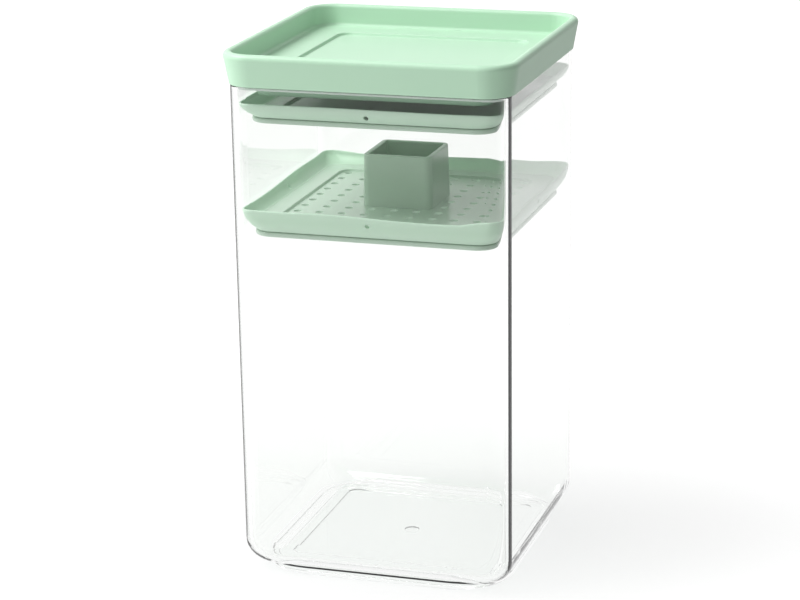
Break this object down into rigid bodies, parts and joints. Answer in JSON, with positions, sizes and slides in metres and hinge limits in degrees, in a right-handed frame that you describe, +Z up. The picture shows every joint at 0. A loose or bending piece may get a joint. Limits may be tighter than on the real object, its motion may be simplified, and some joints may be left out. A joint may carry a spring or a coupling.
{
  "type": "fermentation jar",
  "caption": "Square clear storage jar for fermenting vegetables, with a push-on lid, an inner lid and a perforated press plate with a hollow square grip.",
  "frame": {"origin": "centre of the underside of the foot ring", "axes": "+Z up along the jar's axis, X and Y square to its four equal sides"},
  "size_m": [0.1146, 0.1146, 0.2078],
  "materials": {
    "clear_plastic": "clear, polished moulding",
    "lid_plastic": "smooth satin moulding, mint green",
    "plate_plastic": "smooth glossy moulding, mint green, slightly translucent",
    "wiper_silicone": "soft moulded rubber, pale mint green, slightly translucent",
    "seal_silicone": "translucent soft silicone"
  },
  "bodies": {
    "jar": {"jar": "clear_plastic"},
    "lid": {"lid_cap": "lid_plastic", "lid_pan": "lid_plastic", "lid_seal": "seal_silicone"},
    "inner_lid": {"inner_lid_plate": "plate_plastic", "inner_lid_wiper": "wiper_silicone"},
    "press": {"press_plate": "plate_plastic", "press_wiper": "wiper_silicone", "press_handle": "plate_plastic"}
  },
  "joints": [
    {"name": "inner_lid_slide", "type": "slide", "parent": "jar", "child": "inner_lid", "axis": [0, 0, 1], "range_m": [0, 0.1]},
    {"name": "lid_lift", "type": "slide", "parent": "inner_lid", "child": "lid", "axis": [0, 0, 1], "range_m": [0, 0.06]},
    {"name": "press_slide", "type": "slide", "parent": "inner_lid", "child": "press", "axis": [0, 0, 1], "range_m": [-0.129, 0]}
  ]
}
